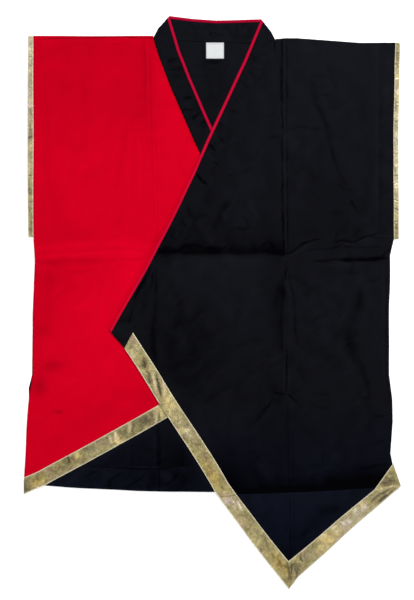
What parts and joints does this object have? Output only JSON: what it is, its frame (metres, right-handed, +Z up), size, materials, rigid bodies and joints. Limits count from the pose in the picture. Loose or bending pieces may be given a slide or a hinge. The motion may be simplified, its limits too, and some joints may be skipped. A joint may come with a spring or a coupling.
{
  "type": "sleeveless happi coat",
  "caption": "Sleeveless festival happi coat laid flat, red right front under a pointed black left front, black collar with crimson piping, gold bands on slanting hems and cuffs.",
  "frame": {"origin": "under the middle of the laid coat's box, on the surface that it lies on", "axes": "+X towards the wearer's left, +Y along the coat from its point to its collar, +Z up from the surface, out of the front"},
  "size_m": [0.6774, 1.03, 0.0064],
  "materials": {
    "black_cloth": "matt blue-black twill",
    "red_cloth": "matt scarlet twill",
    "crimson_piping": "crimson satin",
    "gold_band": "mottled gold lame weave",
    "white_label": "white woven tape"
  },
  "bodies": {
    "root": {"back": "black_cloth", "back_hem": "black_cloth", "left_front": "black_cloth", "collar_back": "black_cloth", "collar_right": "black_cloth", "collar_left": "black_cloth", "right_front": "red_cloth", "piping_back": "crimson_piping", "piping_right": "crimson_piping", "piping_left": "crimson_piping", "cuff_right_front": "gold_band", "cuff_right_back": "gold_band", "cuff_left_front": "gold_band", "cuff_left_back": "gold_band", "hem_band_right": "gold_band", "hem_band_left_long": "gold_band", "hem_band_left_short": "gold_band", "label": "white_label"}
  },
  "joints": []
}
